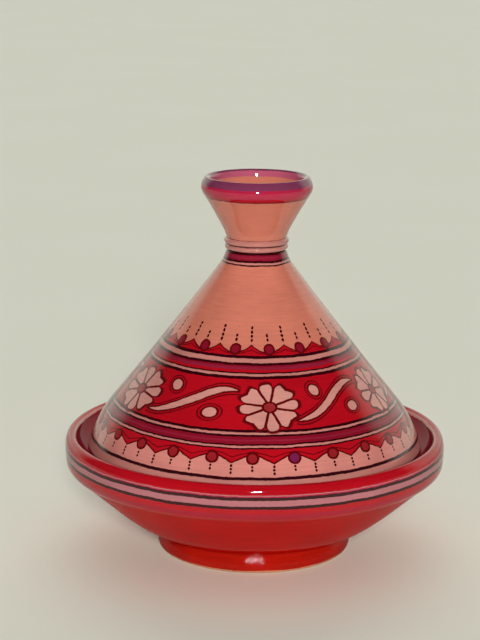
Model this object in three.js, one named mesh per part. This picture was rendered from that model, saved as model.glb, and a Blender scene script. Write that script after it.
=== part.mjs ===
// A tagine: a shallow footed dish of glazed earthenware and a tall conical lid with a cup-shaped knob.
// The potter turns every piece on the wheel, so each one here is an outline spun round the Z axis.
// Millimetres, +Z up. The origin is the centre of the foot, on the surface that the pot stands on.

import * as THREE from 'three';

// ---- Driving dimensions ----

const SIDES = 48; // flat facets round each turned piece
const CURVE_STEPS = 4; // straight steps along a curved stretch of an outline
const BEAD_STEPS = 3; // the same on the small beads of the collar
const GAP = 0.3; // clearance between pieces that touch

const FOOT_RADIUS = 76.4; // widest part of the foot ring
const FOOT_HEIGHT = 16;
const FOOT_WALL = 13.6; // from the ring's hollow to its widest part
const FOOT_DRAW_IN_LOW = 1.6; // how far the ring draws in where it stands
const FOOT_DRAW_IN_HIGH = 2.4; // how far it draws in under the bowl
const BOWL_DRAW_IN = 0.6; // how far the bowl's underside stops short of the ring's widest part

const DISH_RADIUS = 150; // outside of the rim band
const DISH_FLOOR_THICKNESS = 9.2;
const DISH_FLOOR_RADIUS = 58; // flat part of the inside
const RIM_LOW_Z = 66.5; // height where the bowl turns up into the rim band
const RIM_DRAW_IN = 4; // how far that turn lies in from the band
const RIM_BAND_Z = 77; // height where the band starts to stand upright
const RIM_ROUND = 4.5; // radius of the rounded crest of the rim
const RIM_CREST_Z = 89; // height of the centre of that round

const SEAT_Z = 83.2; // flat seat inside the rim, which carries the lid
const SEAT_INNER_RADIUS = 126.5;
const SEAT_OUTER_RADIUS = 134.5;
const SEAT_EDGE_ROUND = 2.5; // rounding of the seat's inner edge

const LID_RADIUS = 131.8; // lid's lower edge, standing inside the rim
const LID_BASE_Z = SEAT_Z + GAP;
const LID_WALL = 7.2; // thickness of the lid's lower edge
const LID_EDGE_ROUND = 2;
const SHOULDER_RADIUS = 114.5; // where the rounded shoulder meets the straight cone
const SHOULDER_Z = 118;
const CONE_TOP_RADIUS = 28.5; // where the cone starts to draw up into the neck
const CONE_TOP_Z = 228;
const NECK_RADIUS = 23.2; // narrowest part, under the collar
const NECK_Z = 239.7; // flat top of the cone, on which the knob stands
const CEILING_RADIUS = 21.6; // inside of the cone, at its top
const CEILING_Z = 226;
const CEILING_ROUND = 5;

const STEM_RADIUS = 19.7; // knob's stem, hidden in the collar
const COLLAR_TOP_Z = 249.3;
const LOWER_BEAD = { radius: 22.5, z: 242.2, round: 2.1 };
const UPPER_BEAD = { radius: 22.8, z: 246.8, round: 2.4 };

const KNOB_FOOT_RADIUS = 23.4; // underside of the flare, above the collar
const KNOB_RADIUS = 43.15; // outside of the knob's lip
const KNOB_ROUND = 3.8; // radius of that lip
const KNOB_LIP_Z = 292.75; // height of the centre of the lip's round
const CUP_FLOOR_RADIUS = 20; // hollow in the knob, where its floor begins
const CUP_FLOOR_Z = 257.5;
const CUP_FLOOR_ROUND = 4.5;

// Handles of the curved stretches, as radius, height pairs. They give each wall its sweep.
const FOOT_SIDE = [78.4, 9];
const BOWL_OUTSIDE = [98, 20, 121, 46];
const RIM_TURN = [DISH_RADIUS, 69.5];
const BOWL_INSIDE = [121.5, 55, 104, 30];
const SHOULDER_OUTSIDE = [130.6, 96, 124.6, 106];
const SHOULDER_INSIDE = [119, 100.5];
const CONE_HOLLOWING = [70.6, 171.5];
const NECK_SWEEP = [24, 234];
const FLARE_SWEEP = [24.2, 254.5, 31, 265];
const LIP_SWEEP = [40.8, 282.6, KNOB_RADIUS, 286];
const CUP_WALL = [34.5, 287, 26, 271];

// Points where those stretches meet.
const SHOULDER_INSIDE_TOP = [108.6, 113.4];
const SHOULDER_INSIDE_FOOT = [123.5, 89];
const FLARE_TOP = [37.7, 277];

// ---- Turning ----

// Spins an outline of (radius, height) points round the Z axis. The outline runs with the clay on its
// left, and it starts and ends on the axis or closes on itself.
function turned(name, outline, steps, colour, roughness) {
  const geometry = new THREE.LatheGeometry(outline.getPoints(steps), SIDES);
  geometry.rotateX(Math.PI / 2);
  const material = new THREE.MeshStandardMaterial({ color: colour, roughness, metalness: 0 });
  const mesh = new THREE.Mesh(geometry, material);
  mesh.name = name;
  return mesh;
}

// ---- Dish ----

// Ring of clay luted under the bowl. Its side swells a little between its foot and the bowl.
function footRing() {
  const inner = FOOT_RADIUS - FOOT_WALL;
  const outline = new THREE.Path();
  outline.moveTo(inner, 0);
  outline.lineTo(FOOT_RADIUS - FOOT_DRAW_IN_LOW, 0);
  outline.quadraticCurveTo(...FOOT_SIDE, FOOT_RADIUS - FOOT_DRAW_IN_HIGH, FOOT_HEIGHT);
  outline.lineTo(inner, FOOT_HEIGHT);
  outline.closePath();
  return turned('dish_foot_ring', outline, CURVE_STEPS, '#a8200f', 0.3);
}

// Open bowl whose wall thickens into an upright rim band, with a seat inside it for the lid.
function bowl() {
  const base = FOOT_HEIGHT + GAP;
  const floor = base + DISH_FLOOR_THICKNESS;
  const seatRound = SEAT_INNER_RADIUS - SEAT_EDGE_ROUND;
  const outline = new THREE.Path();
  outline.moveTo(0, base);
  outline.lineTo(FOOT_RADIUS - BOWL_DRAW_IN, base);
  outline.bezierCurveTo(...BOWL_OUTSIDE, DISH_RADIUS - RIM_DRAW_IN, RIM_LOW_Z);
  outline.quadraticCurveTo(...RIM_TURN, DISH_RADIUS, RIM_BAND_Z);
  outline.lineTo(DISH_RADIUS, RIM_CREST_Z);
  outline.absarc(DISH_RADIUS - RIM_ROUND, RIM_CREST_Z, RIM_ROUND, 0, Math.PI, false);
  outline.lineTo(SEAT_OUTER_RADIUS, SEAT_Z);
  outline.lineTo(SEAT_INNER_RADIUS, SEAT_Z);
  outline.quadraticCurveTo(seatRound, SEAT_Z, seatRound, SEAT_Z - SEAT_EDGE_ROUND);
  outline.bezierCurveTo(...BOWL_INSIDE, DISH_FLOOR_RADIUS, floor);
  outline.lineTo(0, floor);
  return turned('dish_bowl', outline, CURVE_STEPS, '#b0181c', 0.2);
}

// ---- Lid ----

// Hollow cone, closed at the top, with a rounded shoulder above its standing edge.
function cone() {
  const ceilingEdge = CEILING_RADIUS - CEILING_ROUND;
  const outline = new THREE.Path();
  outline.moveTo(0, CEILING_Z);
  outline.quadraticCurveTo(ceilingEdge, CEILING_Z, CEILING_RADIUS, CEILING_Z - CEILING_ROUND);
  outline.lineTo(...SHOULDER_INSIDE_TOP);
  outline.quadraticCurveTo(...SHOULDER_INSIDE, ...SHOULDER_INSIDE_FOOT);
  outline.lineTo(LID_RADIUS - LID_WALL, LID_BASE_Z);
  outline.lineTo(LID_RADIUS - LID_EDGE_ROUND, LID_BASE_Z);
  outline.quadraticCurveTo(LID_RADIUS, LID_BASE_Z, LID_RADIUS, LID_BASE_Z + LID_EDGE_ROUND);
  outline.bezierCurveTo(...SHOULDER_OUTSIDE, SHOULDER_RADIUS, SHOULDER_Z);
  outline.quadraticCurveTo(...CONE_HOLLOWING, CONE_TOP_RADIUS, CONE_TOP_Z);
  outline.quadraticCurveTo(...NECK_SWEEP, NECK_RADIUS, NECK_Z);
  outline.lineTo(0, NECK_Z);
  return turned('lid_cone', outline, CURVE_STEPS, '#cf6a5c', 0.25);
}

// Two beads of clay in one coil, laid round the joint between the cone and the knob.
function collar() {
  const inner = STEM_RADIUS + GAP;
  const quarter = Math.PI / 2;
  const outline = new THREE.Path();
  outline.moveTo(inner, NECK_Z + GAP);
  outline.absarc(LOWER_BEAD.radius, LOWER_BEAD.z, LOWER_BEAD.round, -quarter, quarter, false);
  outline.absarc(UPPER_BEAD.radius, UPPER_BEAD.z, UPPER_BEAD.round, -quarter, quarter, false);
  outline.lineTo(inner, COLLAR_TOP_Z);
  outline.closePath();
  return turned('lid_collar', outline, BEAD_STEPS, '#d98a7c', 0.25);
}

// Flared cup with a rounded lip. Its stem stands on the cone, inside the collar.
function knob() {
  const stemTop = COLLAR_TOP_Z + GAP;
  const outline = new THREE.Path();
  outline.moveTo(0, NECK_Z + GAP);
  outline.lineTo(STEM_RADIUS, NECK_Z + GAP);
  outline.lineTo(STEM_RADIUS, stemTop);
  outline.lineTo(KNOB_FOOT_RADIUS, stemTop);
  outline.bezierCurveTo(...FLARE_SWEEP, ...FLARE_TOP);
  outline.bezierCurveTo(...LIP_SWEEP, KNOB_RADIUS, KNOB_LIP_Z);
  outline.absarc(KNOB_RADIUS - KNOB_ROUND, KNOB_LIP_Z, KNOB_ROUND, 0, Math.PI, false);
  outline.bezierCurveTo(...CUP_WALL, CUP_FLOOR_RADIUS, CUP_FLOOR_Z + CUP_FLOOR_ROUND);
  outline.quadraticCurveTo(CUP_FLOOR_RADIUS - CUP_FLOOR_ROUND, CUP_FLOOR_Z, 0, CUP_FLOOR_Z);
  return turned('lid_knob', outline, CURVE_STEPS, '#cf6a5c', 0.25);
}

// ---- The pot, closed, as it stands ----

const dish = new THREE.Group();
dish.add(footRing(), bowl());

const lid = new THREE.Group();
lid.add(cone(), collar(), knob());

const tagine = new THREE.Group();
tagine.add(dish, lid);

export default tagine;
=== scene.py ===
# %% [markdown]
# # A painted tagine
#
# This lesson dresses a tagine: a footed earthenware dish with a tall conical lid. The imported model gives
# every size and both bodies, so it is loaded first and kept as a fixed frame. Each clay piece is then
# turned again with smoother walls, and painted with materials worked out from heights and angles.

import math

import bpy
from mathutils import Matrix, Vector


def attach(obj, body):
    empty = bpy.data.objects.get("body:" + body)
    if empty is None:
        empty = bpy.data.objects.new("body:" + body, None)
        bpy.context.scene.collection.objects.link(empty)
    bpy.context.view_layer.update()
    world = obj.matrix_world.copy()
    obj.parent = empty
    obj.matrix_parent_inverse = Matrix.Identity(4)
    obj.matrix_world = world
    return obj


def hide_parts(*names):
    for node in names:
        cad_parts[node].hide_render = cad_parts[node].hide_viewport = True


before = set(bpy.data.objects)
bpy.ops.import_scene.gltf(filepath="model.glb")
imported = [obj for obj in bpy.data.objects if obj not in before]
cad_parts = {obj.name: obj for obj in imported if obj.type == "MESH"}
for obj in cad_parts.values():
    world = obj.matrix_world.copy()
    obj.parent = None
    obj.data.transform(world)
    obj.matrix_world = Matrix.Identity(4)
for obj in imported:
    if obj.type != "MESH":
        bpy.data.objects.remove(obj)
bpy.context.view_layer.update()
MM = 0.001  # metres in a millimetre

# %% [markdown]
# ## Camera
#
# The pot is seen from a little above, through a long lens, so its rims show as flat ellipses. A long lens
# is a narrow angle: 105 mm against a 36 mm sensor. A new camera looks straight down. It is leaned by half a
# degree, as a held camera is, then tipped up to look across at the pot, then swung a hair to the left.

# %% Camera
SENSOR, LENS = 36.0, 105.35  # millimetres
CAMERA_PLACE = (0.0, -1.4333, 0.5058)
LEAN_DEG, LOOK_DOWN_DEG, SWING_DEG = 0.465, 12.71, 0.493

camera_data = bpy.data.cameras.new("camera")
camera_data.sensor_width = SENSOR
camera_data.lens = LENS
camera = bpy.data.objects.new("camera", camera_data)
bpy.context.scene.collection.objects.link(camera)
stand = Matrix.Translation(CAMERA_PLACE)
swing = Matrix.Rotation(math.radians(SWING_DEG), 4, "Z")
tip = Matrix.Rotation(math.radians(90.0 - LOOK_DOWN_DEG), 4, "X")
lean = Matrix.Rotation(math.radians(LEAN_DEG), 4, "Z")
camera.matrix_world = stand @ swing @ tip @ lean
bpy.context.scene.camera = camera
bpy.context.scene.view_settings.view_transform = "Standard"
print("camera at", [round(v, 3) for v in camera.matrix_world.translation])

# %% [markdown]
# ## Colours and nodes
#
# Paint colours are written as sRGB hex, the way a colour picker shows them, and shaders work in linear
# light, so one function converts them. One more adds a node, sets it up and links what goes into it. Both
# are used by every material below.


# %% Helpers for colours and nodes
def colour(code):
    """An sRGB hex colour such as "#c08040", as linear red, green, blue and alpha."""
    parts = [int(code[i : i + 2], 16) / 255 for i in (1, 3, 5)]
    linear = [p / 12.92 if p <= 0.04045 else ((p + 0.055) / 1.055) ** 2.4 for p in parts]
    return (*linear, 1.0)


def add(tree, kind, inputs=(), out=0, **settings):
    """Adds a node and returns one of its outputs. Its inputs are sockets or values, by place or by name."""
    node = tree.nodes.new("ShaderNode" + kind)
    for name, value in settings.items():
        setattr(node, name, value)
    pairs = inputs.items() if isinstance(inputs, dict) else enumerate(inputs)
    for key, value in pairs:
        if isinstance(value, bpy.types.NodeSocket):
            tree.links.new(value, node.inputs[key])
        elif value is not None:
            node.inputs[key].default_value = value
    return node.outputs[out]


def new_material(name):
    """An empty material, and its tree, with only an output node."""
    material = bpy.data.materials.new(name)
    material.use_nodes = True
    material.node_tree.nodes.clear()
    material.node_tree.nodes.new("ShaderNodeOutputMaterial")
    return material, material.node_tree


# %% [markdown]
# ## Floor and light
#
# A plain pale floor and soft light leave the pot to be looked at. A glaze is a mirror as well as a colour,
# so what it reflects matters as much as what lights it. The room is a sky made for the glaze: bright low
# down behind the pot, which greys the sides of the cone, and dark overhead and in front, which keeps the
# reds deep. It lights no clay, and a camera that looks past the floor sees it evenly pale. The wide lamps
# light the clay and stay out of the mirror, as crossed polarisers keep a studio's lamps out of a picture of
# pottery. One small lamp beside the camera makes the short bright dashes on the rims.

# %% Floor
FLOOR_SIZE = 30.0  # metres, so that its edge is out of the camera's sight

bpy.ops.object.select_all(action="DESELECT")
bpy.ops.mesh.primitive_plane_add(size=FLOOR_SIZE, location=(0.0, 0.0, 0.0))
floor = bpy.context.object
floor.name = "floor"
floor_paint, tree = new_material("matt_pale_floor")
position = add(tree, "TexCoord", out="Object")
mottle = add(tree, "TexNoise", {"Vector": position, "Scale": 3.0, "Detail": 4.0})
tone = add(tree, "ValToRGB", (mottle,))
tone.node.color_ramp.elements[0].color = colour("#f0f0de")
tone.node.color_ramp.elements[1].color = colour("#f4f4e3")
matt = {"Base Color": tone, "Roughness": 0.9, "Specular IOR Level": 0.0}
shader = add(tree, "BsdfPrincipled", matt)
tree.links.new(shader, tree.nodes["Material Output"].inputs["Surface"])
floor.data.materials.append(floor_paint)

# %% The room that the glaze mirrors
BACK = (0.14, 0.99, 0.0)  # straight at the back wall, which the pot doesn't face quite squarely
WALL_EDGE = (0.31, 0.62)  # where the wall fades in, as the cosine of the angle from its middle
WALL_LIGHT = (0.05, 1.3)  # strength beside the wall, and on it
SKY_EDGE = (0.48, 0.64)  # where the room fades out overhead, as the sine of the elevation
SKY_LIGHT = (1.0, 0.04)  # share of the strength that is left below, and above
SEEN_LIGHT = 0.82  # even strength for the camera's own sight of the room

world = bpy.data.worlds.new("pale_room")
world.use_nodes = True
tree = world.node_tree
toward = add(tree, "TexCoord", out="Generated")
up = add(tree, "SeparateXYZ", (toward,), out="Z")
behind = add(tree, "VectorMath", (toward, BACK), out="Value", operation="DOT_PRODUCT")
back_wall = add(tree, "MapRange", (behind, *WALL_EDGE, *WALL_LIGHT), interpolation_type="SMOOTHSTEP")
low = add(tree, "MapRange", (up, *SKY_EDGE, *SKY_LIGHT), interpolation_type="SMOOTHSTEP")
mirrored = add(tree, "Math", (back_wall, low), operation="MULTIPLY")
straight = add(tree, "LightPath", out="Is Camera Ray")
strength = add(tree, "Mix", {0: straight, 2: mirrored, 3: SEEN_LIGHT})
tree.links.new(strength, tree.nodes["Background"].inputs["Strength"])
tree.nodes["Background"].inputs["Color"].default_value = colour("#dee0d2")
world.cycles_visibility.diffuse = False
bpy.context.scene.world = world


# %% Lamps
POT_MIDDLE = Vector((0.0, 0.0, 0.13))
DASH_WIDTH, DASH_HEIGHT, DASH_WATTS = 0.12, 0.06, 10.0


def aim(name, light, location):
    """Stands a light at a place and points it at the middle of the pot."""
    holder = bpy.data.objects.new(name, light)
    bpy.context.scene.collection.objects.link(holder)
    holder.location = location
    holder.rotation_mode = "QUATERNION"
    holder.rotation_quaternion = (POT_MIDDLE - Vector(location)).to_track_quat("-Z", "Y")
    return holder


def wide_lamp(name, strength, spread_deg, location):
    """A far, soft light of even strength, kept out of the mirror of the glaze."""
    light = bpy.data.lights.new(name, "SUN")
    light.energy = strength
    light.angle = math.radians(spread_deg)
    aim(name, light, location).visible_glossy = False


wide_lamp("lamp_front", 3.2, 12.0, (0.08, -1.5, 0.66))
wide_lamp("lamp_overhead", 0.5, 70.0, (0.1, -0.4, 2.0))
wide_lamp("lamp_behind", 1.1, 60.0, (0.0, 1.5, 1.1))
dash = bpy.data.lights.new("lamp_beside_camera", "AREA")
dash.shape = "RECTANGLE"
dash.size, dash.size_y = DASH_WIDTH, DASH_HEIGHT
dash.energy = DASH_WATTS
aim("lamp_beside_camera", dash, (0.03, -1.45, 0.53)).visible_diffuse = False

# %% [markdown]
# ## Turning clay
#
# Everything here was made on a wheel, so one helper turns all of it. It adds a circle at the first point of
# an outline, raises the wall ring by ring with extrude and resize, as a potter does, and closes it: a ring
# that meets the axis is merged to a point, and a hollow ring is bridged back to its start. A Subdivision
# Surface modifier then smooths the wall, and a very slight Displace gives it the unevenness of hand work.
# The other way, a spun outline, makes the same shape, but leaves a seam to weld.


# %% Helpers that turn a piece
SIDES = 72  # points round a ring, before smoothing
SMOOTH_LEVELS = 2
SWELL_SIZE = 0.07  # metres across a swelling of the hand-made wall
SAME_POINT = 1e-6  # metres, within which two points are one


def turn_rings(name, outline):
    """Raises a wall through (radius, height) points, in millimetres. A radius of 0 is on the axis."""
    bpy.ops.object.select_all(action="DESELECT")
    rings = [(r * MM, z * MM) for r, z in outline]
    first = next(i for i, ring in enumerate(rings) if ring[0] > 0)
    radius, height = rings[first]
    bpy.ops.mesh.primitive_circle_add(vertices=SIDES, radius=radius, location=(0.0, 0.0, 0.0))
    piece = bpy.context.object
    piece.name = name
    bpy.ops.object.mode_set(mode="EDIT")
    bpy.ops.transform.translate(value=(0.0, 0.0, height))
    for r, z in rings[first + 1 :]:
        bpy.ops.mesh.extrude_region_move(TRANSFORM_OT_translate={"value": (0.0, 0.0, z - height)})
        if r > 0:
            share = r / radius
            bpy.ops.transform.resize(value=(share, share, 1.0), center_override=(0.0, 0.0, z))
            radius = r
        else:
            bpy.ops.mesh.merge(type="CENTER")
        height = z
    return piece, rings, first


def close_rings(piece, rings, first):
    """Closes the start: to a point on the axis, or by a bridge from the last ring to the first."""
    bpy.ops.mesh.select_all(action="DESELECT")
    bpy.ops.mesh.select_mode(type="EDGE")
    bpy.ops.mesh.select_non_manifold(extend=False)
    if first == 1:
        rise = rings[0][1] - rings[1][1]
        bpy.ops.mesh.extrude_region_move(TRANSFORM_OT_translate={"value": (0.0, 0.0, rise)})
        bpy.ops.mesh.merge(type="CENTER")
    else:
        bpy.ops.mesh.bridge_edge_loops()
    bpy.ops.mesh.select_mode(type="VERT")
    bpy.ops.mesh.select_all(action="SELECT")
    bpy.ops.mesh.remove_doubles(threshold=SAME_POINT)
    bpy.ops.mesh.normals_make_consistent(inside=False)
    bpy.ops.object.mode_set(mode="OBJECT")


def hand_thrown(piece, unevenness):
    """Smooths a turned piece and gives it the slight unevenness of hand work, in millimetres."""
    smooth = piece.modifiers.new("smooth_wall", "SUBSURF")
    smooth.levels = smooth.render_levels = SMOOTH_LEVELS
    swell = bpy.data.textures.new(piece.name + "_swell", "CLOUDS")
    swell.noise_scale = SWELL_SIZE
    uneven = piece.modifiers.new("hand_swell", "DISPLACE")
    uneven.texture = swell
    uneven.texture_coords = "LOCAL"
    uneven.strength = unevenness * MM
    uneven.mid_level = 0.5
    for modifier in list(piece.modifiers):
        bpy.ops.object.modifier_apply(modifier=modifier.name)
    bpy.ops.object.shade_smooth()


def turn(name, body, nodes, outline, unevenness=0.5):
    """Turns a whole piece, ties it to its body and hides the CAD nodes that it stands for."""
    piece, rings, first = turn_rings(name, outline)
    close_rings(piece, rings, first)
    hand_thrown(piece, unevenness)
    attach(piece, body)
    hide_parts(*nodes)
    print(name, len(piece.data.polygons), "faces")
    return piece


# %% [markdown]
# Outlines are a few points joined by curves. A bezier helper fills in the points of one swept stretch, and
# another goes round a rounded lip. Smoothing pulls a small round in by about a twentieth, so the lip's
# radius is made that much larger here.


# %% Helpers for outlines
LIP_GROWTH = 1.045


def sweep(start, handle_a, handle_b, end, steps):
    """Points along a bezier stretch, without its first one."""
    points = []
    for i in range(1, steps + 1):
        t = i / steps
        weights = ((1 - t) ** 3, 3 * (1 - t) ** 2 * t, 3 * (1 - t) * t * t, t**3)
        corners = (start, handle_a, handle_b, end)
        points.append(tuple(sum(w * c[k] for w, c in zip(weights, corners)) for k in (0, 1)))
    return points


def lip(radius, height, size, start_deg, end_deg, steps):
    """Points round a lip whose centre is at a radius and height, from one angle to another."""
    size = size * LIP_GROWTH
    angles = [math.radians(start_deg + (end_deg - start_deg) * i / steps) for i in range(steps + 1)]
    return [(radius + size * math.cos(a), height + size * math.sin(a)) for a in angles]


# %% [markdown]
# ## The dish
#
# The foot is a ring of clay luted under the bowl. Its side swells a little, and its lowest edge is left
# bare so that it doesn't stick to the kiln shelf. The bowl spreads out from it and turns up into a heavy
# rim band, with a rounded crest and a seat inside for the lid. The outlines are in millimetres.

# %% Foot ring and bowl
foot = turn(
    "foot_ring", "dish", ["dish_foot_ring"],
    [(62.8, 0.5), (63.6, 0.0), (68.0, 0.0), (73.0, 0.0), (74.8, 0.4), (75.9, 1.8), (76.5, 3.6)]
    + sweep((76.5, 3.6), (77.4, 6.6), (75.4, 11.5), (72.9, 16.6), 6)
    + [(62.8, 16.6), (62.3, 15.8), (62.3, 8.0), (62.4, 1.6)],
    unevenness=0.3,
)
bowl = turn(
    "bowl", "dish", ["dish_bowl"],
    [(0.0, 16.2), (20.0, 16.2), (45.0, 16.2), (62.0, 16.2), (73.6, 16.2), (75.8, 16.5)]
    + sweep((75.8, 16.5), (98.0, 20.0), (121.0, 46.0), (143.6, 64.6), 12)
    + [(146.4, 66.4), (148.3, 68.3), (149.3, 70.8), (149.8, 74.0), (150.1, 79.0), (150.1, 84.0)]
    + [(149.8, 87.4), (149.2, 90.0), (148.0, 92.1)]
    + lip(145.5, 89.0, 4.5, 75, 170, 5)
    + [(139.2, 87.2), (136.0, 84.4), (134.0, 83.3), (131.0, 83.0), (128.0, 83.0), (126.0, 82.6)]
    + [(124.5, 80.6)] + sweep((124.0, 78.5), (121.5, 55.0), (104.0, 30.0), (58.0, 25.5), 12)
    + [(40.0, 25.3), (20.0, 25.2), (0.0, 25.2)],
)

# %% [markdown]
# ## The lid
#
# The lid is a hollow cone with a rounded shoulder, closed at the top. The flared cup on it was thrown apart
# and luted on, and a coil with two beads hides the joint. All three run into each other under one glaze, so
# the pieces are made to touch, where the CAD pieces leave a hair of space.

# %% Cone, collar and knob
cone = turn(
    "lid_cone_wall", "lid", ["lid_cone"],
    [(0.0, 226.0), (10.0, 225.8), (17.0, 224.4), (21.6, 220.6)]
    + sweep((21.6, 220.6), (50.0, 185.6), (80.0, 148.6), (108.6, 113.4), 12)
    + sweep((108.6, 113.4), (115.0, 105.0), (120.5, 97.0), (123.5, 89.0), 4)
    + [(124.3, 85.6), (124.9, 84.0), (126.2, 83.5), (129.6, 83.5), (131.4, 83.8), (132.1, 84.9)]
    + sweep((132.0, 86.2), (128.7, 94.0), (124.4, 105.4), (114.5, 118.0), 6)
    + sweep((114.5, 118.0), (85.2, 153.7), (56.6, 190.3), (28.5, 228.0), 16)
    + sweep((28.5, 228.0), (25.8, 231.8), (23.6, 236.0), (23.2, 240.4), 4)
    + [(12.0, 240.4), (0.0, 240.4)],
)
collar = turn(
    "collar_beads", "lid", ["lid_collar"],
    [(19.6, 239.7), (22.2, 239.8)]
    + lip(22.5, 242.2, 2.1, -60, 62, 5)
    + lip(22.8, 246.8, 2.4, -62, 70, 5)
    + [(22.6, 249.8), (19.6, 249.8)],
    unevenness=0.2,
)
knob = turn(
    "knob_cup", "lid", ["lid_knob"],
    [(0.0, 240.2), (10.0, 240.2), (19.5, 240.3), (19.8, 242.0), (19.9, 247.0), (23.2, 248.4)]
    + sweep((23.2, 248.4), (23.9, 254.5), (31.0, 265.0), (37.7, 277.0), 7)
    + sweep((37.7, 277.0), (40.4, 281.8), (43.3, 284.6), (43.4, 287.6), 4)
    + [(43.3, 289.4), (42.95, 291.2), (42.4, 292.9), (41.7, 294.4), (40.8, 295.7)]
    + lip(39.35, 292.75, 3.8, 80, 170, 4)
    + [(35.3, 291.2)] + sweep((35.3, 291.2), (34.3, 286.6), (26.0, 271.0), (20.0, 262.0), 7)
    + [(16.6, 258.9), (11.0, 257.7), (0.0, 257.4)],
    unevenness=0.35,
)

# %% [markdown]
# The inside of the cone gets a second paint, and so does the underside of the bowl, so their faces are
# sorted now. A face belongs to the inside of the cone when its normal points down, or towards the axis and
# not up. The bowl's underside is what lies outside and below its rim band.

# %% Faces for a second paint
UNDERSIDE_TOP = 66.5 * MM
STEEP = 0.5  # a wall's normal rises or falls by less than this
ON_AXIS = -1e-6  # a face in the middle of the underside looks neither in nor out


def outward(face):
    """How much a face looks away from the axis."""
    return face.center.x * face.normal.x + face.center.y * face.normal.y


for face in cone.data.polygons:
    if face.normal.z < -STEEP or (outward(face) < 0.0 and face.normal.z < STEEP):
        face.material_index = 1
for face in bowl.data.polygons:
    if face.center.z < UNDERSIDE_TOP and face.normal.z < 0.0 and outward(face) > ON_AXIS:
        face.material_index = 1
for piece in (cone, bowl):
    second = sum(face.material_index for face in piece.data.polygons)
    print(piece.name, "second paint on", second, "of", len(piece.data.polygons), "faces")

# %% [markdown]
# ## Painted slip under a clear glaze
#
# The pot is red earthenware. The whole of it was brushed with coloured slip while the clay was leather
# hard, and the bands, borders and flowers were painted on a slowly turning wheel. A clear lead-type glaze
# then made it all one glossy skin. So each paint below is one picture, made from where a point is: its
# height, and its angle round the pot. Flat images would need unwrapping, and would blur when seen close.

# %% Colours of the slips
SALMON = colour("#c2705c")
BLUSH = colour("#c97d72")
PETAL = colour("#c38479")
PALE = colour("#b8766c")
ROSE = colour("#aa676c")
# Pink is the knob's crimson lightened as a painted reflection.
PINK_PAINTED_SHEEN = colour("#b3546c")
RED = colour("#a80c19")
FOOT_RED = colour("#a01409")
# The underside's red is turned orange, partly as a painted reflection.
UNDERSIDE_RED_AND_PAINTED_REFLECTION = colour("#b20703")
DEEP_RED = colour("#7e1022")
WINE = colour("#861c32")
# Carmine is a violet red painted on the dish's rim as a painted reflection.
CARMINE_PAINTED_SHEEN = colour("#9a1529")
CRIMSON = colour("#a91d3d")
# Plum is a painted reflection on the knob's crimson lip.
PLUM_PAINTED_SHEEN = colour("#73304e")
HEART = colour("#8e2528")
STROKE = colour("#64080f")
BEAD = colour("#8c1c22")
PURPLE = colour("#6c1a44")
MAROON = colour("#5a070c")
INK = colour("#32050c")
DROP = colour("#38060a")
CLAY = colour("#c08260")

# %% [markdown]
# A brush never follows the wheel exactly. Before any pattern is worked out, the point itself is pushed
# about by two noises, a slow one of 22 mm and a quick one of 4 mm, mostly by less than half a millimetre.
# Every line, petal and dot then wanders by itself.


# %% Where a point is on the pot
WANDERS = ((0.045, 1.3), (0.28, 0.75))  # waves of the noise in a millimetre, and its range in millimetres


def find_place(tree, wander=1.0):
    """Azimuth in radians from the front, and reach from the axis and height in millimetres."""
    position = add(tree, "TexCoord", out="Object")
    point = add(tree, "VectorMath", {0: position, "Scale": 1 / MM}, operation="SCALE")
    for scale, spread in WANDERS:
        size = spread * wander
        noise = add(tree, "TexNoise", {"Vector": point, "Scale": scale, "Detail": 1.0}, out="Color")
        push = add(tree, "VectorMath", (noise, (size,) * 3, (-size / 2,) * 3), operation="MULTIPLY_ADD")
        point = add(tree, "VectorMath", (point, push), operation="ADD")
    x, y, height = add(tree, "SeparateXYZ", (point,)).node.outputs
    back = add(tree, "Math", (y, -1.0), operation="MULTIPLY")
    azimuth = add(tree, "Math", (x, back), operation="ARCTAN2")
    level = add(tree, "VectorMath", (point, (1.0, 1.0, 0.0)), operation="MULTIPLY")
    reach = add(tree, "VectorMath", (level,), out="Value", operation="LENGTH")
    return {"point": point, "level": level, "azimuth": azimuth, "reach": reach, "height": height}


def lay(tree, below, *layers):
    """Lays coats of paint over what is below. Each layer is a mask and its paint."""
    for mask, paint in layers:
        below = add(tree, "Mix", {0: mask, 6: below, 7: paint}, out=2, data_type="RGBA")
    return below


# %% [markdown]
# Bands laid on the wheel depend only on height, so a colour ramp with hard steps holds a group of them. A
# ramp is kept as a table of 256 colours, so one ramp over the whole pot would be too coarse for a line a
# millimetre wide. Each group of bands gets its own ramp instead, mixed over the ground between its heights.


# %% Bands
def bands(tree, height, ground, *stops):
    """Bands over a ground. Each stop's colour runs up to the next height. The last height ends them."""
    low, high = stops[0][0], stops[-1][0]
    share = add(tree, "MapRange", (height, low, high, 0.0, 1.0))
    ramp_colour = add(tree, "ValToRGB", (share,))
    ramp = ramp_colour.node.color_ramp
    ramp.interpolation = "CONSTANT"
    ramp.elements.remove(ramp.elements[1])
    ramp.elements[0].color = stops[0][1]
    for start, paint in stops[1:-1]:
        ramp.elements.new((start - low) / (high - low)).color = paint
    within = add(tree, "Math", (height, (low + high) / 2, (high - low) / 2), operation="COMPARE")
    return lay(tree, ground, (within, ramp_colour))


# %% [markdown]
# What repeats round the pot is painted once, in a cell, and the cell is repeated. Each cell has a number,
# and white noise of that number shifts its drawing a little, because no two flowers are brushed alike.


# %% Cells round the pot
SLANT = 1.27  # length on the cone's side for each millimetre of height
CHANCE = 0.37  # picks one set of chance values out of the many that white noise holds


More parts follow.
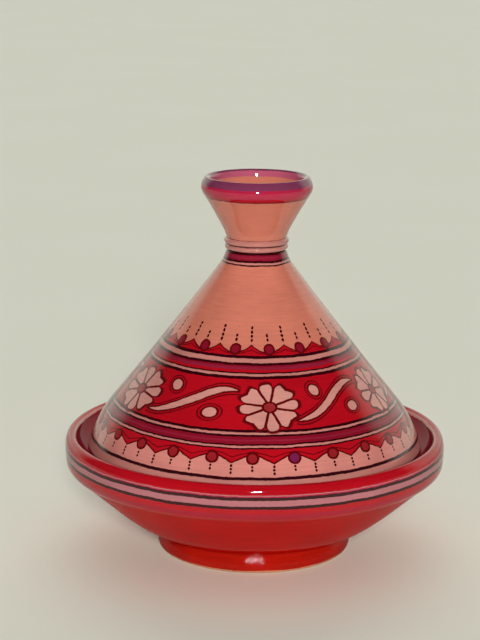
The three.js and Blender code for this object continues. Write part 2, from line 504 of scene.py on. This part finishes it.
def cells(tree, place, count, start_deg):
    """Place in the cell, -0.5 to 0.5, the same in millimetres, and three chance values for the cell."""
    turns = (place["azimuth"], count / math.tau, -start_deg * count / 360)
    along = add(tree, "Math", turns, operation="MULTIPLY_ADD")
    number = add(tree, "Math", (along,), operation="ROUND")
    local = add(tree, "Math", (along, number), operation="SUBTRACT")
    arc = add(tree, "Math", (place["reach"], math.tau / count), operation="MULTIPLY")
    across = add(tree, "Math", (local, arc), operation="MULTIPLY")
    number = add(tree, "Math", (number, float(count)), operation="FLOORED_MODULO")
    number = add(tree, "Math", (number, CHANCE + start_deg), operation="ADD")
    luck = add(tree, "TexWhiteNoise", {"W": number}, out="Color", noise_dimensions="1D")
    return local, across, luck


def climb(tree, place, base, slant=SLANT):
    """Millimetres up the side from a base height, or down it where the slant is negative."""
    return add(tree, "Math", (place["height"], slant, -base * slant), operation="MULTIPLY_ADD")


def nudged(tree, across, rise, luck, room):
    """The cell's plane, in millimetres, shifted by chance within a little room."""
    plane = add(tree, "CombineXYZ", (across, rise))
    back = [-side / 2 for side in room]
    nudge = add(tree, "VectorMath", (luck, (*room, 0.0), (*back, 0.0)), operation="MULTIPLY_ADD")
    return add(tree, "VectorMath", (plane, nudge), operation="ADD")


def spot(tree, plane, centre, half_size):
    """Distance from a painted spot's centre, as a share of its size: 1 at its edge."""
    share = [1 / s for s in half_size]
    shift = [-c / s for c, s in zip(centre, half_size)]
    scaled = add(tree, "VectorMath", (plane, (*share, 0.0), (*shift, 0.0)), operation="MULTIPLY_ADD")
    return add(tree, "VectorMath", (scaled,), out="Value", operation="LENGTH")


# %% [markdown]
# ### Flowers
#
# Six flowers stand round the cone. Each has eight petals in turn, narrow and broad. In polar form that is
# one edge curve for an eighth of a turn, mirrored: the distance to the edge as the angle goes from the
# middle of a narrow petal to the middle of a broad one, with a notch between them. The painter spaced the
# flowers by eye, so the angle round the pot is first stretched on one side and squeezed on the other.

# %% Flowers
FLOWERS = 6
FLOWER_START = 7.6  # degrees from the front to the first flower
FLOWER_HEIGHT = 138.0
FLOWER_ROOM = (2.4, 1.6)  # millimetres that chance may move a flower in, across and up
FLOWER_SQUEEZE = (0.92, 1.0, 0.0)  # a flower is a little wider than it is high
FLOWER_LEAN = 0.5  # radians that chance may turn it in
PETAL_REACH = 20.4  # millimetres from the middle, of which each point of the edge is a share
PETAL_TURN = -0.34  # radians
PETAL_NOTCH = 0.40  # where the notch is, from a narrow petal's middle at 0 to a broad one's at 1
PETAL_EDGE = (
    (0.0, 0.96), (0.22, 0.92), (PETAL_NOTCH, 0.74), (0.47, 0.84), (0.62, 0.96), (0.80, 0.92), (1.0, 0.86),
)
PETAL_LINE, SEAM_LINE = 1.05, 1.15  # half the widths of the lines round a petal and between two, in mm
HEART_SIZE = (4.9, 4.0)
HEART_LINE = 0.17  # half the width of its outline, as a share of the heart
HALO_WIDTH, HALO_STRENGTH = 1.9, 0.6  # dark paint just outside the petals
EYE_TURN, EYE_SWING = -36.0, 0.157  # degrees and radians


def by_eye(tree, place):
    """The same place, with the angle stretched as a painter's eye spaces things."""
    turned_to = add(tree, "Math", (place["azimuth"], math.radians(EYE_TURN)), operation="ADD")
    swing = add(tree, "Math", (turned_to,), operation="COSINE")
    swing = add(tree, "Math", (swing, -EYE_SWING, EYE_SWING), operation="MULTIPLY_ADD")
    return {**place, "azimuth": add(tree, "Math", (place["azimuth"], swing), operation="ADD")}


def flowers(tree, place, below):
    """Paints the ring of flowers."""
    _, across, luck = cells(tree, by_eye(tree, place), FLOWERS, FLOWER_START)
    plane = nudged(tree, across, climb(tree, place, FLOWER_HEIGHT), luck, FLOWER_ROOM)
    round_plane = add(tree, "VectorMath", (plane, FLOWER_SQUEEZE), operation="MULTIPLY")
    distance = add(tree, "VectorMath", (round_plane,), out="Value", operation="LENGTH")
    side, top, _ = add(tree, "SeparateXYZ", (round_plane,)).node.outputs
    angle = add(tree, "Math", (top, side), operation="ARCTAN2")
    angle = add(tree, "Math", (angle, PETAL_TURN), operation="ADD")
    lean = add(tree, "SeparateColor", (luck,))
    angle = add(tree, "Math", (lean, FLOWER_LEAN, angle), operation="MULTIPLY_ADD")
    quarter = add(tree, "Math", (angle, 2 / math.pi), operation="MULTIPLY")
    nearest = add(tree, "Math", (quarter,), operation="ROUND")
    offset = add(tree, "Math", (quarter, nearest), operation="SUBTRACT")
    offset = add(tree, "Math", (offset,), operation="ABSOLUTE")
    share = add(tree, "Math", (offset, 2.0), operation="MULTIPLY")
    curve = add(tree, "FloatCurve", {"Value": share})
    line = curve.node.mapping.curves[0]
    line.points[0].location = PETAL_EDGE[0]
    line.points[1].location = PETAL_EDGE[-1]
    for point in PETAL_EDGE[1:-1]:
        line.points.new(*point)
    curve.node.mapping.update()
    edge = add(tree, "Math", (curve, PETAL_REACH), operation="MULTIPLY")

    inside = add(tree, "Math", (distance, edge), operation="LESS_THAN")
    rim = add(tree, "Math", (distance, edge, PETAL_LINE), operation="COMPARE")
    from_notch = add(tree, "Math", (share, PETAL_NOTCH), operation="SUBTRACT")
    from_notch = add(tree, "Math", (from_notch, distance), operation="MULTIPLY")
    seam = add(tree, "Math", (from_notch, 0.0, SEAM_LINE), operation="COMPARE")
    seam = add(tree, "Math", (seam, inside), operation="MULTIPLY")
    heart = spot(tree, plane, (0.0, 0.0), HEART_SIZE)
    heart_fill = add(tree, "Math", (heart, 1.0), operation="LESS_THAN")
    heart_rim = add(tree, "Math", (heart, 1.0, HEART_LINE), operation="COMPARE")
    halo = add(tree, "Math", (edge, HALO_WIDTH), operation="ADD")
    halo = add(tree, "Math", (distance, halo), operation="LESS_THAN")
    halo = add(tree, "Math", (halo, HALO_STRENGTH), operation="MULTIPLY")
    petals = ((halo, STROKE), (inside, PETAL), (seam, MAROON), (rim, MAROON))
    middle = ((heart_fill, HEART), (heart_rim, MAROON))
    return lay(tree, below, *petals, *middle)


# %% [markdown]
# ### Leaves and buds
#
# Between two flowers a long leaf climbs from low on the left to high on the right, with one bud above it
# and one below. Its middle line is part of a sine wave. Its width falls off nearly as a parabola does, so
# that both ends are pointed, and darker strokes of the brush follow it outside.

# %% Leaves and buds
LEAF_CENTRE = 36.6  # degrees, midway between two flowers
LEAF_HEIGHT = 139.5
LEAF_HALF = 0.32  # half its length, as a share of the cell
LEAF_WAVE = (-0.31, 0.24)  # where the wave is lowest and highest, as shares of the cell
LEAF_SWING = 12.6  # millimetres from the middle of the wave to its lowest or highest
LEAF_WIDTH = 3.9  # half its width at the middle
LEAF_TAPER = 0.8  # 1 is a parabola, and less is blunter
LEAF_LINE = 0.8
ECHO_GAP, ECHO_LINE = 2.3, 0.65  # the stroke outside the leaf
NO_LEAF = 0.02  # share of the width under which there is nothing left to outline
BUD_ROOM = (4.0, 3.0)
HIGH_BUD = ((-13.8, 9.5), (4.1, 4.6))  # centre and half sizes
LOW_BUD = ((15.8, -8.2), (5.2, 4.2))
BUD_LINE = (1.08, 0.17)  # place and half width of a bud's outline, as shares of the bud
BUD_ECHO = (1.6, 0.12)


def leaves(tree, place, below):
    """Paints a leaf and two buds between each flower and the next."""
    local, across, luck = cells(tree, by_eye(tree, place), FLOWERS, LEAF_CENTRE)
    run = add(tree, "MapRange", (local, *LEAF_WAVE, -math.pi / 2, math.pi / 2), clamp=False)
    wave = add(tree, "Math", (run,), operation="SINE")
    rise = climb(tree, place, LEAF_HEIGHT)
    off = add(tree, "Math", (wave, -LEAF_SWING, rise), operation="MULTIPLY_ADD")
    off = add(tree, "Math", (off,), operation="ABSOLUTE")
    share = add(tree, "Math", (local, 1 / LEAF_HALF), operation="MULTIPLY")
    square = add(tree, "Math", (share, share), operation="MULTIPLY")
    bulge = add(tree, "Math", (1.0, square), operation="SUBTRACT")
    bulge = add(tree, "Math", (bulge, 0.0), operation="MAXIMUM")
    bulge = add(tree, "Math", (bulge, LEAF_TAPER), operation="POWER")
    width = add(tree, "Math", (bulge, LEAF_WIDTH), operation="MULTIPLY")
    fill = add(tree, "Math", (off, width), operation="LESS_THAN")
    present = add(tree, "Math", (bulge, NO_LEAF), operation="GREATER_THAN")
    rim = add(tree, "Math", (off, width, LEAF_LINE), operation="COMPARE")
    rim = add(tree, "Math", (rim, present), operation="MULTIPLY")
    outer = add(tree, "Math", (width, ECHO_GAP), operation="ADD")
    echo = add(tree, "Math", (off, outer, ECHO_LINE), operation="COMPARE")
    echo = add(tree, "Math", (echo, present), operation="MULTIPLY")

    plane = nudged(tree, across, rise, luck, BUD_ROOM)
    high_bud = spot(tree, plane, *HIGH_BUD)
    low_bud = spot(tree, plane, *LOW_BUD)
    bud = add(tree, "Math", (high_bud, low_bud), operation="MINIMUM")
    bud_fill = add(tree, "Math", (bud, 1.0), operation="LESS_THAN")
    bud_rim = add(tree, "Math", (bud, *BUD_LINE), operation="COMPARE")
    bud_echo = add(tree, "Math", (bud, *BUD_ECHO), operation="COMPARE")
    strokes = ((echo, STROKE), (bud_echo, STROKE))
    leaf = ((fill, PETAL), (rim, MAROON))
    buds = ((bud_fill, PETAL), (bud_rim, MAROON))
    return lay(tree, below, *strokes, *leaf, *buds)


# %% [markdown]
# ### Scalloped borders
#
# Above and below the flower band runs a border of beads and scallops, the upper one standing and the lower
# one hanging. Both are measured as a rise from the band's edge, so one function paints both. A bead lies in
# the middle of each cell, and the scallops meet in a tip between two beads. Each tip and each bead carries
# a few dots of dark paint, like drops.


# %% Borders
SCALLOP_LINE = 0.7  # half the width of the line along the scallops, in millimetres
INNER_PLACE, INNER_LINE = 0.55, 0.45  # a second line, at a share of their height, and half its width
BEAD_ROOM = (1.2, 1.0)
BEAD_FILL, BEAD_LINE = 0.9, 0.2  # shares of the bead: its paint, and half the width of its outline
ODD_BEAD = 0.9  # a bead is purple where its chance value is above this
DOT_LENGTH = 0.42  # half a drop's length, as a share of the distance between two


def border(tree, place, below, count, start_deg, base, slant, bead, arch, drops, bead_drops):
    """A border from a base height. A positive slant stands it up, and a negative one hangs it down.

    The sizes of the bead and the arch are in millimetres. So are the drops: start, end, pitch, half width.
    """
    local, across, luck = cells(tree, place, count, start_deg)
    rise = climb(tree, place, base, slant)
    plane = nudged(tree, across, rise, luck, BEAD_ROOM)

    to_tip = add(tree, "Math", (local,), operation="ABSOLUTE")
    to_tip = add(tree, "Math", (to_tip, 2.0), operation="MULTIPLY")
    swell = add(tree, "Math", (to_tip, arch["power"]), operation="POWER")
    tops = (swell, arch["tip"] - arch["low"], arch["low"])
    tops = add(tree, "Math", tops, operation="MULTIPLY_ADD")
    in_border = add(tree, "Math", (rise, 0.0), operation="GREATER_THAN")
    fill = add(tree, "Math", (rise, tops), operation="LESS_THAN")
    fill = add(tree, "Math", (fill, in_border), operation="MULTIPLY")
    rim = add(tree, "Math", (rise, tops, SCALLOP_LINE), operation="COMPARE")
    inner = add(tree, "Math", (tops, INNER_PLACE), operation="MULTIPLY")
    inner = add(tree, "Math", (rise, inner, INNER_LINE), operation="COMPARE")

    round_bead = spot(tree, plane, (0.0, bead["rise"]), (bead["across"], bead["tall"]))
    bead_fill = add(tree, "Math", (round_bead, BEAD_FILL), operation="LESS_THAN")
    bead_rim = add(tree, "Math", (round_bead, 1.0, BEAD_LINE), operation="COMPARE")
    odd = add(tree, "SeparateColor", (luck,), out=2)
    odd = add(tree, "Math", (odd, ODD_BEAD), operation="GREATER_THAN")
    bead_paint = lay(tree, bead["paint"], (odd, PURPLE))
    layers = [(fill, RED), (inner, STROKE), (rim, MAROON), (bead_fill, bead_paint), (bead_rim, MAROON)]

    aside = add(tree, "Math", (to_tip, -0.5, 0.5), operation="MULTIPLY_ADD")
    width = add(tree, "Math", (place["reach"], math.tau / count), operation="MULTIPLY")
    aside = add(tree, "Math", (aside, width), operation="MULTIPLY")
    for sideways, (start, end, pitch, size) in ((aside, drops), (across, bead_drops)):
        steps = add(tree, "Math", (rise, 1 / pitch, -start / pitch), operation="MULTIPLY_ADD")
        step = add(tree, "Math", (steps,), operation="FRACT")
        step = add(tree, "Math", (step, pitch, -pitch / 2), operation="MULTIPLY_ADD")
        dot = add(tree, "CombineXYZ", (sideways, step))
        dot = spot(tree, dot, (0.0, 0.0), (size, pitch * DOT_LENGTH))
        dot = add(tree, "Math", (dot, 1.0), operation="LESS_THAN")
        above = add(tree, "Math", (rise, start), operation="GREATER_THAN")
        under = add(tree, "Math", (rise, end), operation="LESS_THAN")
        dot = add(tree, "Math", (dot, above), operation="MULTIPLY")
        layers.append((add(tree, "Math", (dot, under), operation="MULTIPLY"), DROP))
    return lay(tree, below, *layers)


# %% [markdown]
# ### The glaze
#
# Brushed slip is never even: it lies in streaks that follow the wheel, and in clouds where a brushload ran
# out. Over it goes the glaze: a clear coat with an IOR near 1.5, as glass has, smooth but for a faint
# ripple, as orange peel. Under a coat the paint itself has no shine, so the base has none. Streaks are
# worked out in a space that is squeezed round the pot, so that they run along the wheel.
#
# Each scale below is a count in a millimetre: streaks 1 mm high, clouds 3 cm across, small dark specks from
# a net of points 9 mm apart, few of which lie in the surface, and a ripple of 4 to 5 mm. The foot's thin
# glaze has a ripple of 2 to 3 mm, drawn deeper than a real one so that it shows.


# %% Glaze
STREAKS_PER_MM = 0.9
CLOUDS_PER_MM = 0.03
SPECKS_PER_MM = 0.11
RIPPLES_PER_MM = 0.22
RING_SIZE = 3.0  # the radius that the whole pot is squeezed to, for streaks
NOISE_RANGE = (0.7, 1.3)  # where the sum of two noises mostly lies
SPECK_SIZE, SPECK_STRENGTH = 0.045, 0.5
STREAK_RIPPLE = 0.35  # how much the streaks add to the ripple
PAINT_ROUGHNESS, GLAZE_ROUGHNESS, GLAZE_IOR = 0.4, 0.04, 1.52


def glaze(tree, place, paint, streak=0.08, ripple=0.04, coat=1.0, ripples=RIPPLES_PER_MM):
    """Streaks and clouds over the paint, and a clear glossy coat over both. The ripple is in mm."""
    ring = add(tree, "VectorMath", (place["level"],), operation="NORMALIZE")
    ring = add(tree, "VectorMath", {0: ring, "Scale": RING_SIZE}, operation="SCALE")
    lift = add(tree, "CombineXYZ", {"Z": place["height"]})
    space = add(tree, "VectorMath", (ring, lift), operation="ADD")
    streaks = {"Vector": space, "Scale": STREAKS_PER_MM, "Detail": 3.0, "Roughness": 0.6}
    strokes = add(tree, "TexNoise", streaks)
    clouds = {"Vector": place["point"], "Scale": CLOUDS_PER_MM, "Detail": 3.0}
    both = add(tree, "Math", (strokes, add(tree, "TexNoise", clouds)), operation="ADD")
    light = add(tree, "MapRange", (both, *NOISE_RANGE, 1.0 - streak, 1.0 + streak))
    varied = add(tree, "VectorMath", {0: paint, "Scale": light}, operation="SCALE")
    specks = add(tree, "TexVoronoi", {"Vector": place["point"], "Scale": SPECKS_PER_MM})
    specks = add(tree, "Math", (specks, SPECK_SIZE), operation="LESS_THAN")
    specks = add(tree, "Math", (specks, SPECK_STRENGTH), operation="MULTIPLY")
    varied = lay(tree, varied, (specks, INK))
    peel = add(tree, "TexNoise", {"Vector": place["point"], "Scale": ripples, "Detail": 2.0})
    height = add(tree, "Math", (strokes, STREAK_RIPPLE, peel), operation="MULTIPLY_ADD")
    normal = add(tree, "Bump", {"Height": height, "Strength": 1.0, "Distance": ripple * MM})
    base = {"Base Color": varied, "Roughness": PAINT_ROUGHNESS, "Specular IOR Level": 0.0}
    skin = {"Coat Weight": coat, "Coat Roughness": GLAZE_ROUGHNESS, "Coat IOR": GLAZE_IOR}
    shader = add(tree, "BsdfPrincipled", {**base, **skin, "Normal": normal, "Coat Normal": normal})
    tree.links.new(shader, tree.nodes["Material Output"].inputs["Surface"])


# %% [markdown]
# ## Painting the lid
#
# The heights of the bands are measured up the side, one group at a time. The borders lie over the edges of
# the flower band, and the flowers over the leaves.

# %% Lid paint
FIELD_LOW, FIELD_HIGH = 124.3, 156.2  # the red band that the flowers stand on
LOWER_EDGE, UPPER_EDGE = 112.3, 171.3  # where the two borders start
LOWER_SLANT = -1.2  # the lower border hangs over the shoulder, which is a little steeper

lid_paint, tree = new_material("painted_slip_lid_glaze")
place = find_place(tree)
height = place["height"]
paint = bands(tree, height, SALMON, (83.0, PALE), (92.0, INK), (94.2, BLUSH), (LOWER_EDGE, None))
paint = bands(
    tree, height, paint,
    (LOWER_EDGE, INK), (113.2, PALE), (114.5, INK), (115.5, DEEP_RED), (117.2, WINE),
    (118.4, DEEP_RED), (120.0, INK), (121.3, PALE), (122.6, INK), (FIELD_LOW, None),
)
paint = bands(tree, height, paint, (FIELD_LOW, RED), (FIELD_HIGH, None))
paint = bands(
    tree, height, paint,
    (FIELD_HIGH, INK), (158.1, PALE), (159.6, INK), (160.5, RED), (162.0, WINE),
    (163.9, DEEP_RED), (164.9, INK), (166.5, PALE), (169.3, INK), (UPPER_EDGE, None),
)
paint = bands(
    tree, height, paint,
    (230.4, INK), (231.4, PALE), (232.8, INK), (234.4, DEEP_RED), (235.4, WINE),
    (237.6, DEEP_RED), (238.4, INK), (242.0, None),
)
paint = leaves(tree, place, paint)
paint = flowers(tree, place, paint)
paint = border(
    tree, place, paint, 17, 8.1, UPPER_EDGE, SLANT,
    bead={"rise": 5.1, "across": 3.7, "tall": 4.3, "paint": DEEP_RED},
    arch={"low": 2.4, "tip": 8.6, "power": 2.0},
    drops=(11.0, 25.0, 3.5, 1.0),
    bead_drops=(11.5, 18.5, 3.5, 0.95),
)
paint = border(
    tree, place, paint, 25, -0.6, LOWER_EDGE, LOWER_SLANT,
    bead={"rise": 6.6, "across": 4.3, "tall": 4.3, "paint": BEAD},
    arch={"low": 3.6, "tip": 10.8, "power": 1.3},
    drops=(11.8, 20.0, 2.7, 0.95),
    bead_drops=(12.4, 17.8, 2.7, 0.9),
)
glaze(tree, place, paint, streak=0.12)
print("lid paint:", len(tree.nodes), "nodes")

# %% [markdown]
# Inside, the lid has one plain coat of the same salmon slip and glaze. The edge that stands in the dish is
# wiped bare before firing.

# %% Paint inside the lid
lid_inside, tree = new_material("plain_slip_lid_inside_glaze")
place = find_place(tree)
glaze(tree, place, bands(tree, place["height"], SALMON, (80.0, CLAY), (84.3, None)), streak=0.16)

# %% [markdown]
# ## The knob, the collar and the dish
#
# The knob's lip is painted plum outside, over a crimson band: the plum is a painted reflection on the lip's
# crimson, and inside the lip a pink band is its crimson lightened as a painted reflection. The dish's rim
# carries bands of red and pink between dark lines; one violet red band on it is a painted reflection, and
# its seat is painted deep red as painted shade. Here a band also depends on how far it is from the axis,
# because the inside of a rim is at the same height as its outside.

# %% Knob and collar paint
CUP_REACH = 37.6  # millimetres from the axis, past which the knob's lip faces out

knob_paint, tree = new_material("painted_slip_knob_glaze")
place = find_place(tree, wander=0.7)
height = place["height"]
# Outside, the plum above 291 mm is a painted reflection on the lip's crimson.
outside = bands(
    tree, height, SALMON,
    (281.2, DEEP_RED), (282.4, RED), (284.0, CRIMSON), (291.0, PLUM_PAINTED_SHEEN), (299.0, None),
)
# Inside the lip, pink is crimson lightened as a painted reflection, and the plum over it is a painted
# reflection too.
within = bands(tree, height, SALMON, (291.0, PINK_PAINTED_SHEEN), (295.6, PLUM_PAINTED_SHEEN), (299.0, None))
outer = add(tree, "Math", (place["reach"], CUP_REACH), operation="GREATER_THAN")
glaze(tree, place, lay(tree, within, (outer, outside)), streak=0.06)

collar_paint, tree = new_material("pale_slip_collar_glaze")
place = find_place(tree, wander=0.5)
paint = bands(
    tree, place["height"], PALE,
    (238.0, INK), (240.2, PALE), (244.0, INK), (245.1, PALE), (249.2, INK), (250.2, None),
)
glaze(tree, place, paint)

# %% Dish paint
RIM_REACH = 141.2  # millimetres from the axis, past which the rim's bands begin
CREST = (142.0, 0.8)  # reach of a pale line on the crest, and half its width
SEAT = (134.0, 7.0)  # the same for the seat and the wall that rises from it
DISH_COAT, SEAT_COAT = 0.8, 0.25  # the lid rubs the seat's glaze dull

dish_paint, tree = new_material("painted_slip_dish_glaze")
place = find_place(tree)
# The violet red band from 68.9 to 72.3 mm is a painted reflection on the rim's red.
outside = bands(
    tree, place["height"], RED,
    (66.0, RED), (68.9, CARMINE_PAINTED_SHEEN), (72.3, RED), (76.2, INK), (78.6, ROSE), (83.0, INK),
    (85.4, CRIMSON), (86.2, ROSE), (87.0, RED), (92.9, None),
)
outer = add(tree, "Math", (place["reach"], RIM_REACH), operation="GREATER_THAN")
crest = add(tree, "Math", (place["reach"], *CREST), operation="COMPARE")
# The seat and the wall rising from it are painted deep red as painted shade, under a thinner coat.
seat = add(tree, "Math", (place["reach"], *SEAT), operation="COMPARE")
coat = add(tree, "MapRange", (seat, 0.0, 1.0, DISH_COAT, SEAT_COAT))
glaze(tree, place, lay(tree, RED, (outer, outside), (seat, DEEP_RED), (crest, PALE)), coat=coat)

# %% [markdown]
# The underside and the foot are dipped in a thin red glaze that fires to a duller skin. The underside's red
# is turned orange as a painted reflection of warm light from below. The foot's lowest edge and the recess
# inside it are wiped bare.

# %% Underside and foot paint
RECESS_REACH = 64.5  # millimetres from the axis to the edge of the bare recess

under_paint, tree = new_material("thin_red_underside_glaze")
place = find_place(tree)
# The underside's orange red is partly a painted reflection of warm light from below.
paint = bands(tree, place["height"], UNDERSIDE_RED_AND_PAINTED_REFLECTION, (10.0, CLAY), (16.9, None))
glaze(tree, place, paint, streak=0.14, coat=0.25)

foot_paint, tree = new_material("thin_red_foot_glaze")
place = find_place(tree)
paint = bands(tree, place["height"], FOOT_RED, (-3.0, CLAY), (2.4, None))
recess = add(tree, "Math", (place["reach"], RECESS_REACH), operation="LESS_THAN")
paint = lay(tree, paint, (recess, CLAY))
glaze(tree, place, paint, streak=0.14, ripple=0.3, coat=0.3, ripples=0.42)

# %% Put the paints on
paints = {
    cone: (lid_paint, lid_inside),
    knob: (knob_paint,),
    collar: (collar_paint,),
    bowl: (dish_paint, under_paint),
    foot: (foot_paint,),
}
for piece, materials in paints.items():
    for material in materials:
        piece.data.materials.append(material)
print("painted:", [piece.name for piece in paints])
